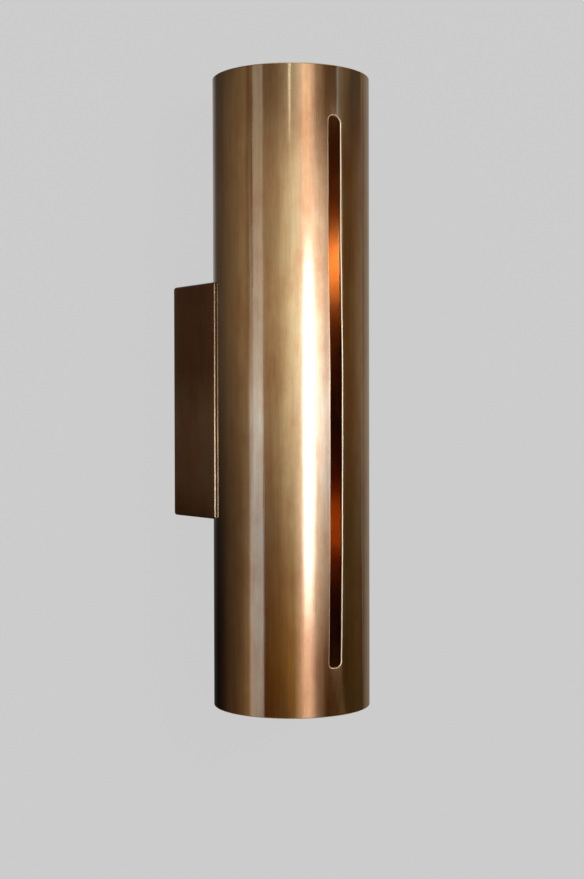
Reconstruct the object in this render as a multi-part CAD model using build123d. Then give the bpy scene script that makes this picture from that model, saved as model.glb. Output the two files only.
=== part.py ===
from build123d import *

# Tube wall light: a slotted brass tube, open at both ends, held off the wall by a sheet-metal box
# whose front edges are scribed to the tube. Two tubular screw-cap lamps stand back to back inside.
#
# Frame: millimetres, +Z up. The wall is the plane y = 0 and the light stands in front of it, towards -Y.
# The origin is the middle of the wall plate's back face, level with the middle of the wall box.

import os
from math import sqrt

# ---------------------------------------------------------------- driving dimensions

# shade tube
tube_diameter = 100.0
tube_wall = 2.0
tube_height = 400.0
tube_rise = 5.0  # middle of the tube above the middle of the box
tube_to_wall = 15.0
rim_break = 0.4
slot_width = 10.0
slot_length = 340.0
slot_corner = 3.8

# wall box: folded sheet, exactly as wide as the tube
box_height = 150.0
box_sheet = 1.5
box_bend = 2.0  # outside radius of its folds
wall_gap = 0.3  # keeps its rim off the wall

# clearances
solder_gap = 0.1  # between the box's scribed edges and the tube
seat_gap = 0.2  # between flat and round faces that are clamped together
thread_fit = 0.05  # radial play of every thread and spigot
hole_play = 0.25  # radial play of every plain screw hole
ear_clearance = 0.3  # lets the light slip over the wall plate's ears
lamp_play = 0.3  # between a lamp and its holder

# steel strips and plates
strip = 2.0
strip_bend = 1.0  # inside radius of their folds
plate_width = 84.0
plate_corner = 6.0
ear_width = 24.0
ear_front_gap = 0.75  # from an ear's tip to the strap
strap_width = 20.0
lug_width = 44.0
lug_setback = 3.0  # from the wall to a lug's tip
bracket_width = 20.0
bracket_bend = 2.0
arm_offset = 16.0  # from the middle of the tube to an arm's lamp side

# holes in the wall plate for the wall's screws and cable
wall_slot_width = 5.0
wall_slot_length = 12.0
tall_pitch = 116.0  # the two slots one above the other
wide_pitch = 60.0  # the two slots side by side
wide_slots_drop = 38.0
cable_hole_radius = 10.0
cable_hole_drop = 16.0

# cable bush
bush_bore_radius = 5.0
bush_flange_radius = 12.0
bush_flange = 1.6

# screws and nuts
m4_radius = 2.0
m4_head_radius = 3.8
m4_head = 2.4
m4_nut_flats = 7.0
m4_nut = 3.2
screw_slot_width = 1.0
screw_slot_depth = 1.1
screw_tail = 0.8  # what a screw or nipple shows past its nut
box_screw_from_wall = 7.5
strap_screw_pitch = 70.0

# threaded tubes that carry the wiring
nipple_radius = 5.0
nipple_bore_radius = 4.0
nipple_nut_flats = 14.0
nipple_nut = 3.0
saddle_washer_radius = 9.0

# lamp holders, heights measured from the arm that carries them
holder_radius = 14.0
holder_edge = 1.5
holder_floor = 4.0
holder_cavity_radius = 9.5
holder_shoulder = 12.0
spigot_radius = 12.6
spigot_bore_radius = 11.2
spigot_top = 18.0
core_seat = 10.0
core_height = 5.0
skirt_top = 40.0
skirt_lip = 1.4
skirt_mouth_radius = 9.5
shell_wall = 0.5
shell_length = 21.0
shell_flange_radius = 10.5
contact_rise = 3.9
contact_width = 5.0
contact_strip = 0.5
contact_bend = 0.6
nipple_reach = 8.0  # of a holder's nipple past its arm

# lamps, lengths measured from the tip of the centre contact
lamp_length = 85.0
lamp_radius = 13.0
lamp_cap_radius = 6.8
lamp_contact_radius = 2.4
lamp_contact = 1.5
lamp_insulator = 3.0
insulator_lip = 1.0
lamp_cap_length = 22.0
lamp_collar_radius = 8.5
lamp_collar = 3.0
lamp_cap_sheet = 0.4
lamp_glass = 0.9
lamp_shoulder_top = 34.0
stem_flange = 1.0
stem_flare = 5.0
lamp_stem_top = 40.0
emitter_side = 5.0
emitter_length = 30.0

# terminal block
pole_pitch = 8.0
pole_count = 3
block_depth = 13.0
block_length = 18.0  # along the wires
block_margin = 1.0
block_edge = 1.0
block_near_side = 19.0  # from the middle of the light
insert_radius = 2.25
insert_bore_radius = 1.6
insert_inset = 1.5
clamp_screw_radius = 1.3
clamp_screw_length = 3.4
clamp_screw_pitch = 8.0
fixing_screw_radius = 1.5
fixing_head_radius = 2.7
fixing_head = 1.6

# earth stud
earth_x = 28.0
earth_rise = 38.0
washer_radius = 4.5
washer = 1.0
tag_sheet = 0.8
tag_barrel_radius = 1.7
tag_barrel_length = 6.0

# leads
lead_radius = 1.1
lead_spread = 1.3  # of each lead from the middle of the nipple
lead_layer = 2.9  # between the two lamps' leads behind the nipple
lead_wall_play = 0.5
lead_entry = 3.0  # of the earth lead into its insert
block_run = 4.0  # straight stretch of a lead beside the block
block_turn = 8.0
lamp_bend = 9.0
earth_bend = 4.5

# ---------------------------------------------------------------- worked out from them

tube_radius = tube_diameter / 2
bore_radius = tube_radius - tube_wall
wall_to_axis = tube_to_wall + tube_radius
box_width = tube_diameter
box_inside = box_height / 2 - box_sheet  # half the height inside the box
tube_back = -tube_to_wall

strap_front = tube_back + seat_gap
strap_back = strap_front + strip
lug_under = box_inside - strip
ear_top = lug_under - ear_clearance
ear_under = ear_top - strip
ear_tip = strap_back + ear_front_gap

bracket_back = sqrt(bore_radius**2 - (bracket_width / 2) ** 2) - wall_to_axis - seat_gap
bracket_front = bracket_back - strip

nipple_hole = nipple_radius + thread_fit
core_radius = spigot_bore_radius - thread_fit
core_top = core_seat + core_height
shell_bore_radius = lamp_cap_radius + lamp_play
contact_top = core_top + contact_rise + contact_strip / 2
lamp_tip = contact_top + lamp_play

pole_y = -strip - block_depth / 2
block_far_side = block_near_side + block_length
block_height = pole_pitch * pole_count + 2 * block_margin
insert_near = block_near_side + insert_inset
insert_far = block_far_side - insert_inset

BASE = (Align.CENTER, Align.CENTER, Align.MIN)
on_axis = Pos(0, -wall_to_axis, tube_rise)
above_arm = on_axis * Pos(0, 0, arm_offset)
below_arm = on_axis * Rot(180, 0, 0) * Pos(0, 0, arm_offset)


# ---------------------------------------------------------------- shared shapes


def facing_front(x, y, z):
    """A place whose +Z points away from the wall and whose +Y points up."""
    return Pos(x, y, z) * Rot(90, 0, 0)


def facing_wall(x, y, z):
    """A place whose +Z points into the wall."""
    return Pos(x, y, z) * Rot(-90, 0, 0)


def rod(radius, length):
    """Round bar that stands on its place."""
    return Cylinder(radius, length, align=BASE)


def ring(outer_radius, inner_radius, length):
    """Washer, bush or pipe that stands on its place."""
    return rod(outer_radius, length) - rod(inner_radius, length)


def turned(*outline):
    """Solid of revolution about Z from its half section, given as (radius, height) points."""
    section = Plane.XZ * make_face(Polyline(*outline, close=True))
    return revolve(section, Axis.Z)


def hex_nut(flats, thickness, bore):
    """Hexagon nut that stands on its place."""
    hexagon = RegularPolygon(flats / 2, 6, major_radius=False)
    return extrude(hexagon, thickness) - rod(bore, thickness)


def slotted_screw(shank_radius, length, head_radius, head):
    """Cheese-head screw: the head stands on its place and the shank goes down from it."""
    top = chamfer(rod(head_radius, head).edges().group_by(Axis.Z)[-1], head / 6)
    cut = Pos(0, 0, head) * Box(3 * head_radius, screw_slot_width, 2 * screw_slot_depth)
    return top - cut + Pos(0, 0, -length) * rod(shank_radius, length)


def folded_strip(width, back, front, half_height, inside_radius):
    """Strip folded to a C: the web is at back and the two limbs reach to front, at +-half_height."""
    side = 1 if front > back else -1
    web = back + side * strip
    web_end = 0 if side > 0 else -1
    outer = Pos((back + front) / 2, 0) * Rectangle(abs(front - back), 2 * half_height)
    outer = fillet(outer.vertices().group_by(Axis.X)[web_end], inside_radius + strip)
    inner = Pos((web + front) / 2, 0) * Rectangle(abs(front - web), 2 * (half_height - strip))
    inner = fillet(inner.vertices().group_by(Axis.X)[web_end], inside_radius)
    return extrude(Plane.YZ * (outer - inner), width / 2, both=True)


def wire_along(points, radii):
    """Round lead along straight runs joined by tangent arcs, one radius for each corner."""
    path = FilletPolyline(*points, radius=radii)
    return sweep(Plane(origin=path @ 0, z_dir=path % 0) * Circle(lead_radius), path=path)


# ---------------------------------------------------------------- tube and wall box


def shade_tube():
    """Drawn tube with the long round-cornered slot in front and its fixing holes behind."""
    tube = Pos(0, 0, -tube_height / 2) * ring(tube_radius, bore_radius, tube_height)
    tube = chamfer(tube.edges().filter_by(GeomType.CIRCLE), rim_break)
    corner = min(slot_corner, 0.49 * slot_width)
    slot = Plane.XZ * RectangleRounded(slot_width, slot_length, corner)
    tube -= extrude(slot, 2 * tube_radius)
    tube -= facing_wall(0, 0, 0) * rod(nipple_hole, 2 * tube_radius)
    for side in (-1, 1):
        hole = rod(m4_radius + hole_play, 2 * tube_radius)
        tube -= facing_wall(0, 0, side * strap_screw_pitch / 2) * hole
    return on_axis * tube


def wall_box():
    """Five-sided folded box: open to the wall, with top and bottom scribed to the tube.

    The sides are cut square just where their inner corners would meet the tube.
    """
    scribe_radius = tube_radius + solder_gap
    inner_half = box_width / 2 - box_sheet
    side_stop = sqrt(scribe_radius**2 - inner_half**2) + solder_gap
    depth = wall_to_axis - side_stop - wall_gap
    outside = Rectangle(box_width, box_height)
    outside = fillet(outside.vertices(), box_bend)
    inside = Rectangle(2 * inner_half, 2 * box_inside)
    inside = fillet(inside.vertices(), box_bend - box_sheet)
    box = facing_front(0, -wall_gap, 0) * extrude(outside - inside, depth)
    box -= Pos(0, -wall_to_axis, 0) * Cylinder(scribe_radius, 2 * box_height)
    return box - Pos(0, -box_screw_from_wall, 0) * Cylinder(m4_radius + hole_play, 2 * box_height)


# ---------------------------------------------------------------- steelwork behind the tube


def wall_plate():
    """Plate on the wall, with an ear folded forward at top and bottom for the box screws."""
    plate = folded_strip(ear_width, 0, ear_tip, ear_top, strip_bend)
    web_height = 2 * (ear_top - strip - strip_bend)
    web = fillet(Rectangle(plate_width, web_height).vertices(), plate_corner)
    plate += facing_front(0, 0, 0) * extrude(web, strip)
    plate -= Pos(0, -box_screw_from_wall, 0) * Cylinder(m4_radius + thread_fit, 2 * box_height)
    holes = Pos(0, -cable_hole_drop) * Circle(cable_hole_radius)
    for side in (-1, 1):
        holes += Pos(0, side * tall_pitch / 2) * SlotOverall(wall_slot_length, wall_slot_width, rotation=90)
        wide = Pos(side * wide_pitch / 2, -wide_slots_drop)
        holes += wide * SlotOverall(wall_slot_length, wall_slot_width)
    holes += Pos(earth_x, earth_rise) * Circle(m4_radius)
    holes += Pos(fixing_x(), tube_rise + pole_pitch / 2) * Circle(fixing_screw_radius + thread_fit)
    return plate - facing_front(0, 0, 0) * extrude(holes, strip)


def cable_bush():
    """Snap bush that lines the cable hole, flush with the plate's back."""
    reach = strip + bush_flange
    lip = bush_flange / 2
    bush = turned(
        (bush_bore_radius, 0),
        (cable_hole_radius - thread_fit, 0),
        (cable_hole_radius - thread_fit, strip),
        (bush_flange_radius, strip),
        (bush_flange_radius, reach - lip),
        (bush_flange_radius - lip, reach),
        (bush_bore_radius, reach),
    )
    return facing_front(0, 0, -cable_hole_drop) * bush


def weld_nuts():
    """Two nuts under the ears, which take the box screws."""
    nut = hex_nut(m4_nut_flats, m4_nut, m4_radius + thread_fit)
    nut = Pos(0, -box_screw_from_wall, ear_under - m4_nut) * nut
    return [nut, Rot(0, 180, 0) * nut]


def spine_strap():
    """Upright strap behind the tube, with wide lugs soldered inside the box's top and bottom."""
    strap = folded_strip(lug_width, strap_front, -lug_setback, box_inside, strip_bend)
    waist_height = 2 * (lug_under - strip_bend)
    waist_side = (lug_width - strap_width) / 2
    for side in (-1, 1):
        beside = Pos(side * (strap_width + waist_side) / 2, strap_front + strip / 2, 0)
        strap -= beside * Box(waist_side, 2 * strip, waist_height)
    strap -= facing_wall(0, strap_front, tube_rise) * rod(nipple_hole, strip)
    for side in (-1, 1):
        place = facing_wall(0, strap_front, tube_rise + side * strap_screw_pitch / 2)
        strap -= place * rod(m4_radius + hole_play, strip)
    return strap - Pos(0, -box_screw_from_wall, 0) * Cylinder(m4_radius + hole_play, 2 * box_height)


def box_screws():
    """Screws through the box, the lug and the ear into the weld nut, above and below."""
    length = box_sheet + strip + ear_clearance + strip + m4_nut + screw_tail
    screw = Pos(0, 0, box_height / 2) * slotted_screw(m4_radius, length, m4_head_radius, m4_head)
    place = Pos(0, -box_screw_from_wall, 0)
    return [place * screw, place * Rot(180, 0, 0) * screw]


def strap_screws():
    """Screws from inside the tube through its back and the strap."""
    head_seat = sqrt(bore_radius**2 - m4_head_radius**2) - wall_to_axis - seat_gap
    length = strap_back + m4_nut + screw_tail - head_seat
    screw = slotted_screw(m4_radius, length, m4_head_radius, m4_head)
    heights = [tube_rise + side * strap_screw_pitch / 2 for side in (-1, 1)]
    return [facing_front(0, head_seat, z) * screw for z in heights]


def strap_nuts():
    """Nuts on the strap screws, behind the strap."""
    nut = hex_nut(m4_nut_flats, m4_nut, m4_radius + thread_fit)
    heights = [tube_rise + side * strap_screw_pitch / 2 for side in (-1, 1)]
    return [facing_wall(0, strap_back, z) * nut for z in heights]


# ---------------------------------------------------------------- lamp bracket inside the tube


def lamp_bracket():
    """C-shaped strip: a flat leg on the tube's back and two arms with round ends on its axis."""
    reach = -wall_to_axis - bracket_width / 2
    bracket = folded_strip(bracket_width, bracket_back, reach, arm_offset, bracket_bend)
    straight = wall_to_axis + bracket_back
    plan = Pos(0, -wall_to_axis + straight / 2) * Rectangle(bracket_width, straight)
    plan += Pos(0, -wall_to_axis) * Circle(bracket_width / 2)
    bracket &= extrude(plan, tube_height / 2, both=True)
    bracket -= Pos(0, -wall_to_axis, 0) * Cylinder(nipple_hole, tube_height)
    bracket = Pos(0, 0, tube_rise) * bracket
    return bracket - facing_wall(0, bracket_front, tube_rise) * rod(nipple_hole, strip)


def saddle_washer():
    """Washer that is flat towards the bracket and rounded to the inside of the tube."""
    blank = facing_wall(0, bracket_back, tube_rise) * ring(saddle_washer_radius, nipple_hole, 2 * strip)
    return blank & on_axis * Cylinder(bore_radius - seat_gap, tube_height)


def entry_nipple():
    """Hollow threaded tube that clamps bracket, tube and strap and lets the leads through."""
    start = bracket_front - nipple_nut - screw_tail
    end = strap_back + nipple_nut + screw_tail
    return facing_wall(0, start, tube_rise) * ring(nipple_radius, nipple_bore_radius, end - start)


def entry_nuts():
    """Lock nuts on both ends of the entry nipple."""
    nut = hex_nut(nipple_nut_flats, nipple_nut, nipple_hole)
    inner = facing_front(0, bracket_front, tube_rise) * nut
    return [inner, facing_wall(0, strap_back, tube_rise) * nut]


def holder_nipples():
    """Hollow threaded tubes between each arm and its lamp holder."""
    start = -strip - nipple_nut - screw_tail
    nipple = Pos(0, 0, start) * ring(nipple_radius, nipple_bore_radius, nipple_reach - start)
    return [place * nipple for place in (above_arm, below_arm)]


def holder_nuts():
    """Lock nuts on the far side of each arm."""
    nut = Pos(0, 0, -strip - nipple_nut) * hex_nut(nipple_nut_flats, nipple_nut, nipple_hole)
    return [place * nut for place in (above_arm, below_arm)]


# ---------------------------------------------------------------- lamp holder, standing on z = 0


def holder_base():
    """Moulded cup, threaded on the nipple, with a ledge for the core and a spigot for the skirt."""
    return turned(
        (nipple_hole, 0),
        (holder_radius - holder_edge, 0),
        (holder_radius, holder_edge),
        (holder_radius, holder_shoulder),
        (spigot_radius, holder_shoulder),
        (spigot_radius, spigot_top),
        (spigot_bore_radius, spigot_top),
        (spigot_bore_radius, core_seat),
        (holder_cavity_radius, core_seat),
        (holder_cavity_radius, holder_floor),
        (nipple_hole, holder_floor),
    )


def holder_core():
    """Ceramic disc that carries the live parts."""
    return Pos(0, 0, core_seat) * rod(core_radius, core_height)


def holder_shell():
    """Flanged metal shell that takes the lamp's threaded cap."""
    outer = shell_bore_radius + shell_wall
    return turned(
        (shell_bore_radius, core_top),
        (shell_flange_radius, core_top),
        (shell_flange_radius, core_top + shell_wall),
        (outer, core_top + shell_wall),
        (outer, core_top + shell_length),
        (shell_bore_radius, core_top + shell_length),
    )


def holder_contact():
    """Sprung tongue under the lamp's centre contact, with its foot on the core."""
    low, high = core_top + contact_strip / 2, core_top + contact_rise
    half = lamp_contact_radius
    foot = shell_bore_radius - lamp_play
    points = [(-foot, 0, low), (-1.4 * half, 0, low), (-half, 0, high), (1.5 * half, 0, high)]
    path = FilletPolyline(*points, radius=contact_bend)
    start = Plane(origin=path @ 0, x_dir=(0, 1, 0), z_dir=path % 0)
    tongue = sweep(start * Rectangle(contact_width, contact_strip), path=path)
    return tongue & rod(foot, skirt_top)


def holder_skirt():
    """Outer sleeve pushed on the base's spigot, with an inward lip at the mouth."""
    bore = spigot_radius + thread_fit
    return turned(
        (bore, holder_shoulder),
        (holder_radius, holder_shoulder),
        (holder_radius, skirt_top - holder_edge),
        (holder_radius - holder_edge, skirt_top),
        (skirt_mouth_radius, skirt_top),
        (skirt_mouth_radius, skirt_top - skirt_lip),
        (bore, skirt_top - skirt_lip),
    )


# ---------------------------------------------------------------- lamp, with the tip of its contact on z = 0


def lamp_contact_button():
    """Centre contact at the lamp's foot."""
    return rod(lamp_contact_radius, lamp_contact)


def lamp_insulator_cone():
    """Black glass between the centre contact and the cap."""
    top = lamp_contact + lamp_insulator
    lip = top + insulator_lip
    inside = lamp_cap_radius - lamp_cap_sheet - thread_fit
    return turned((0, lamp_contact), (inside / 2, lamp_contact), (inside, top), (inside, lip), (0, lip))


def lamp_cap():
    """Thin metal screw cap with a collar round the neck of the glass."""
    foot = lamp_contact + lamp_insulator
    collar_foot = lamp_cap_length
    collar_top = collar_foot + lamp_collar
    flare = lamp_collar_radius - lamp_cap_radius
    inside, collar_inside = lamp_cap_radius - lamp_cap_sheet, lamp_collar_radius - lamp_cap_sheet
    return turned(
        (inside, foot),
        (lamp_cap_radius, foot),
        (lamp_cap_radius, collar_foot - flare),
        (lamp_collar_radius, collar_foot),
        (lamp_collar_radius, collar_top),
        (collar_inside, collar_top),
        (collar_inside, collar_foot),
        (inside, collar_foot - flare),
    )


def glass_body(shrink):
    """Filled shape of the glass, taken in all over by shrink but open at the foot."""
    foot = lamp_cap_length
    neck = lamp_collar_radius - lamp_cap_sheet - thread_fit - shrink
    neck_top = foot + lamp_collar + stem_flange
    body = lamp_radius - shrink
    dome_foot = lamp_length - lamp_radius
    side = Polyline((0, foot), (neck, foot), (neck, neck_top), (body, lamp_shoulder_top), (body, dome_foot))
    dome = RadiusArc((body, dome_foot), (0, dome_foot + body), -body)
    section = Plane.XZ * make_face([*side.edges(), dome, Line((0, dome_foot + body), (0, foot))])
    return revolve(section, Axis.Z)


def lamp_globe():
    """Tubular glass with a round end."""
    return glass_body(0) - glass_body(lamp_glass)


def lamp_stem():
    """Glass foot inside the neck, drawn out to a post."""
    foot = lamp_cap_length
    wide = lamp_collar_radius - lamp_cap_sheet - 2 * thread_fit - lamp_glass
    post = emitter_side / 3
    return turned(
        (0, foot),
        (wide, foot),
        (wide, foot + stem_flange),
        (post, foot + stem_flare),
        (post, lamp_stem_top),
        (0, lamp_stem_top),
    )


def lamp_emitter():
    """Square column that carries the light source."""
    return Pos(0, 0, lamp_stem_top) * Box(emitter_side, emitter_side, emitter_length, align=BASE)


# ---------------------------------------------------------------- terminal block and earth


def pole_heights():
    """Heights of the poles, the lowest first."""
    middle = (pole_count - 1) / 2
    return [tube_rise + (n - middle) * pole_pitch for n in range(pole_count)]


def fixing_x():
    """Distance of the block's fixing screw from the middle of the light."""
    return block_near_side + block_length / 2


def clamp_screw_places():
    """Seats of the clamp screws, two on each insert."""
    seat = pole_y - insert_radius - seat_gap
    xs = [fixing_x() + side * clamp_screw_pitch / 2 for side in (-1, 1)]
    return [facing_front(x, seat, z) for z in pole_heights() for x in xs]


def terminal_block():
    """Moulded block with a bore for each insert and a well for each clamp screw."""
    centre = Pos(fixing_x(), pole_y, tube_rise)
    block = Box(block_length, block_depth, block_height)
    block = centre * chamfer(block.edges().group_by(Axis.Y)[0], block_edge)
    for z in pole_heights():
        bore = Pos(fixing_x(), pole_y, z) * Rot(0, 90, 0)
        block -= bore * Cylinder(insert_radius + thread_fit, 2 * block_length)
    for place in clamp_screw_places():
        block -= place * rod(clamp_screw_radius + hole_play, block_depth)
    screw_hole = Cylinder(fixing_screw_radius + hole_play, 2 * block_depth)
    return block - facing_front(fixing_x(), pole_y, tube_rise + pole_pitch / 2) * screw_hole


def terminal_inserts():
    """Brass tubes that join the supply to the leads."""
    length = insert_far - insert_near
    insert = Rot(0, 90, 0) * ring(insert_radius, insert_bore_radius, length)
    return [Pos(insert_near, pole_y, z) * insert for z in pole_heights()]


def clamp_screws():
    """Grub screws in the wells, two on each insert."""
    grub = rod(clamp_screw_radius, clamp_screw_length)
    grub -= Pos(0, 0, clamp_screw_length) * Box(3 * clamp_screw_radius, screw_slot_width / 2, screw_slot_depth)
    return [place * grub for place in clamp_screw_places()]


def terminal_fixing_screw():
    """Screw between two poles that holds the block on the wall plate."""
    screw = slotted_screw(fixing_screw_radius, block_depth + strip, fixing_head_radius, fixing_head)
    return facing_front(fixing_x(), -strip - block_depth, tube_rise + pole_pitch / 2) * screw


def earth_stack():
    """Each level of the earth stud's stack, as its distance from the wall."""
    base_nut = strip
    spacer = base_nut + m4_nut
    tag = spacer + washer
    top_nut = tag + tag_sheet
    return base_nut, spacer, tag, top_nut


def earth_stud():
    """Threaded stud pressed into the wall plate."""
    length = earth_stack()[3] + m4_nut + screw_tail
    return facing_front(earth_x, 0, earth_rise) * rod(m4_radius, length)


def earth_nuts():
    """Nuts under and over the tag."""
    nut = hex_nut(m4_nut_flats, m4_nut, m4_radius + thread_fit)
    base_nut, _, _, top_nut = earth_stack()
    return [facing_front(earth_x, -level, earth_rise) * nut for level in (base_nut, top_nut)]


def earth_washer():
    """Plain washer under the tag."""
    place = facing_front(earth_x, -earth_stack()[1], earth_rise)
    return place * ring(washer_radius, m4_radius + thread_fit, washer)


def earth_tag():
    """Ring tag with a crimp barrel for the earth lead."""
    reach = washer_radius + tag_barrel_length
    plan = Circle(washer_radius)
    tongue = Pos(reach / 2, 0) * Rectangle(reach, 2 * tag_barrel_radius)
    tag = extrude(plan + tongue, tag_sheet) - rod(m4_radius + thread_fit, tag_sheet)
    barrel = Pos(washer_radius, 0, tag_sheet + tag_barrel_radius) * Rot(0, 90, 0)
    tag += barrel * rod(tag_barrel_radius, tag_barrel_length)
    tag -= barrel * rod(lead_radius + thread_fit, tag_barrel_length)
    return facing_front(earth_x, -earth_stack()[2], earth_rise) * tag


# ---------------------------------------------------------------- leads


def lamp_lead(side, up):
    """Core from the terminal block through the nipples to one lamp holder.

    side is 1 for live and -1 for neutral; up is 1 for the upper lamp and -1 for the lower one.
    The two cores of one lamp lie one above the other, so that their bends at the tube's axis nest.
    Behind the entry nipple the lower lamp's cores bend outside the upper lamp's, nearer to the wall.
    """
    across, height = up * lead_spread, tube_rise + side * lead_spread
    nest = side * up * lead_spread
    layer = -strip - lead_wall_play - lead_radius - (1 + up) / 2 * lead_layer
    nipple_end = strap_back + nipple_nut + screw_tail
    entry_bend = layer - nipple_end + lead_radius / 2
    pole = tube_rise + side * pole_pitch
    pole_layer = pole_y - up * (lead_radius + thread_fit)
    axis_y = -wall_to_axis + nest
    lamp_end = tube_rise + up * (arm_offset + core_seat)
    points = [
        (insert_near, pole_layer, pole),
        (insert_near - block_run, pole_layer, pole),
        (across, layer, height),
        (across, axis_y, height),
        (across, axis_y, lamp_end),
    ]
    return wire_along(points, [block_turn, entry_bend, lamp_bend - nest])


def earth_lead():
    """Core from the middle pole round to the ring tag."""
    out = (block_far_side + box_width / 2 - box_sheet) / 2
    crimp = earth_x + washer_radius + tag_barrel_length / 3
    points = [
        (insert_far - lead_entry, pole_y, tube_rise),
        (out, pole_y, tube_rise),
        (out, earth_lead_y(), earth_rise),
        (crimp, earth_lead_y(), earth_rise),
    ]
    return wire_along(points, [earth_bend, earth_bend])


def earth_lead_y():
    """Distance of the tag's barrel from the wall, with its sign."""
    return -earth_stack()[2] - tag_sheet - tag_barrel_radius


# ---------------------------------------------------------------- the nodes


def holder_nodes(name, place):
    """The five pieces of one lamp holder."""
    return {
        f"holder_{name}_base": place * holder_base(),
        f"holder_{name}_core": place * holder_core(),
        f"holder_{name}_contact": place * holder_contact(),
        f"holder_{name}_shell": place * holder_shell(),
        f"holder_{name}_skirt": place * holder_skirt(),
    }


def lamp_nodes(name, place):
    """The six pieces of one lamp."""
    place = place * Pos(0, 0, lamp_tip)
    return {
        f"lamp_{name}_contact": place * lamp_contact_button(),
        f"lamp_{name}_insulator": place * lamp_insulator_cone(),
        f"lamp_{name}_cap": place * lamp_cap(),
        f"lamp_{name}_globe": place * lamp_globe(),
        f"lamp_{name}_stem": place * lamp_stem(),
        f"lamp_{name}_emitter": place * lamp_emitter(),
    }


nodes = {
    "shade_tube": shade_tube(),
    "wall_box": wall_box(),
    "wall_plate": wall_plate(),
    "cable_bush": cable_bush(),
    "weld_nuts": weld_nuts(),
    "spine_strap": spine_strap(),
    "box_screws": box_screws(),
    "strap_screws": strap_screws(),
    "strap_nuts": strap_nuts(),
    "lamp_bracket": lamp_bracket(),
    "saddle_washer": saddle_washer(),
    "entry_nipple": entry_nipple(),
    "entry_nuts": entry_nuts(),
    "holder_nipples": holder_nipples(),
    "holder_nuts": holder_nuts(),
    **holder_nodes("upper", above_arm),
    **holder_nodes("lower", below_arm),
    **lamp_nodes("upper", above_arm),
    **lamp_nodes("lower", below_arm),
    "terminal_block": terminal_block(),
    "terminal_inserts": terminal_inserts(),
    "clamp_screws": clamp_screws(),
    "terminal_fixing_screw": terminal_fixing_screw(),
    "earth_stud": earth_stud(),
    "earth_nuts": earth_nuts(),
    "earth_washer": earth_washer(),
    "earth_tag": earth_tag(),
    "lead_live_upper": lamp_lead(1, 1),
    "lead_neutral_upper": lamp_lead(-1, 1),
    "lead_live_lower": lamp_lead(1, -1),
    "lead_neutral_lower": lamp_lead(-1, -1),
    "lead_earth": earth_lead(),
}

os.makedirs("parts", exist_ok=True)
for name, shape in nodes.items():
    solids = shape if isinstance(shape, list) else [shape]
    export_step(Compound([s for piece in solids for s in piece.solids()]), f"parts/{name}.step")
    print(name, len(solids))
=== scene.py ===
# %% [markdown]
# # A tube wall light in aged brass
#
# The light is a brass tube, open at both ends, with one long slot cut in its front. A box folded from
# brass sheet holds it off the wall. Two tubular lamps stand back to back inside the tube.
#
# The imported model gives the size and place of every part. This lesson adds what a plain model lacks:
# sheet edges that were filed by hand, finishes, and a studio in which brass looks like brass.

# %% Load the fixed frame
import math

import bmesh
import bpy
import numpy as np
from mathutils import Matrix, Vector


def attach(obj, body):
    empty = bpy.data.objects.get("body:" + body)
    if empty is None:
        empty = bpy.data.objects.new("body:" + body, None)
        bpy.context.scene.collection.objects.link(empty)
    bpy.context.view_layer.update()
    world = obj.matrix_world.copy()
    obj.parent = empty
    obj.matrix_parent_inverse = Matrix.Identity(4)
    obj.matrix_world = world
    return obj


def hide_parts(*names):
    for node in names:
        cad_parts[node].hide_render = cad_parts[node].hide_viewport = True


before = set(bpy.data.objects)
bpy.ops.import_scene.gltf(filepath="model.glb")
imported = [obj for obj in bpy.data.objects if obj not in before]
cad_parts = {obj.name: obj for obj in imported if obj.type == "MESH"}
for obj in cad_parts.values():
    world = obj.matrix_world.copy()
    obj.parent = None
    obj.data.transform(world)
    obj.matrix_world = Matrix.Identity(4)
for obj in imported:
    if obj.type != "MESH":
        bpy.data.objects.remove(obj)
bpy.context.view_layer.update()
scene = bpy.context.scene
scene.view_settings.view_transform = "Standard"
MM = 0.001

# %% [markdown]
# ## The camera
#
# The picture was taken from the left front, level with the middle of the tube, with a lens of about
# 60 mm on a full frame. The camera is placed by its distance from the tube's axis, by the way it looks
# round that axis, and by its height. Three unit vectors then turn it: where it looks, and what is right
# and up for it.

# %% Camera
TUBE_AXIS = Vector((0, -0.065, 0.005))  # middle of the tube
PICTURE_HEIGHT = 879  # pixels
FOCAL_PIXELS = 1505.1
turn, pitch, roll = (math.radians(v) for v in (-33.471, -0.961, -0.125))  # round the tube, up, tilt
distance, sideways, rise = 0.9673, 0.0004, -0.0137  # metres from the tube's middle

level_look = Vector((-math.sin(turn), math.cos(turn), 0))
level_right = Vector((math.cos(turn), math.sin(turn), 0))
place = TUBE_AXIS - distance * level_look + sideways * level_right + Vector((0, 0, rise))
look = math.cos(pitch) * level_look + Vector((0, 0, math.sin(pitch)))
up = level_right.cross(look)
right = math.cos(roll) * level_right + math.sin(roll) * up
up = right.cross(look)

lens = bpy.data.cameras.new("camera")
lens.sensor_width = 36  # mm, which the picture's height takes up
lens.lens = lens.sensor_width * FOCAL_PIXELS / PICTURE_HEIGHT
lens.clip_start = 0.01
camera = bpy.data.objects.new("camera", lens)
camera.matrix_world = Matrix.Translation(place) @ Matrix((right, up, -look)).transposed().to_4x4()
scene.collection.objects.link(camera)
scene.camera = camera
print("camera at", [round(v, 3) for v in place], "lens", round(lens.lens, 1), "mm")

# %% [markdown]
# ## Nodes with a few small helpers
#
# Every finish below is a graph of shader nodes. One function adds a node, sets its properties, and fills
# its sockets with a plain value or with a link from another node. The short ones after it add the nodes
# that come up most: two colours mixed, one of two shaders, a value moved to a new range, and a colour
# ramp. Colours are written as the hex values that a paint chart gives, which are sRGB, so another
# function turns them to the linear light values that the renderer works in.


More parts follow.
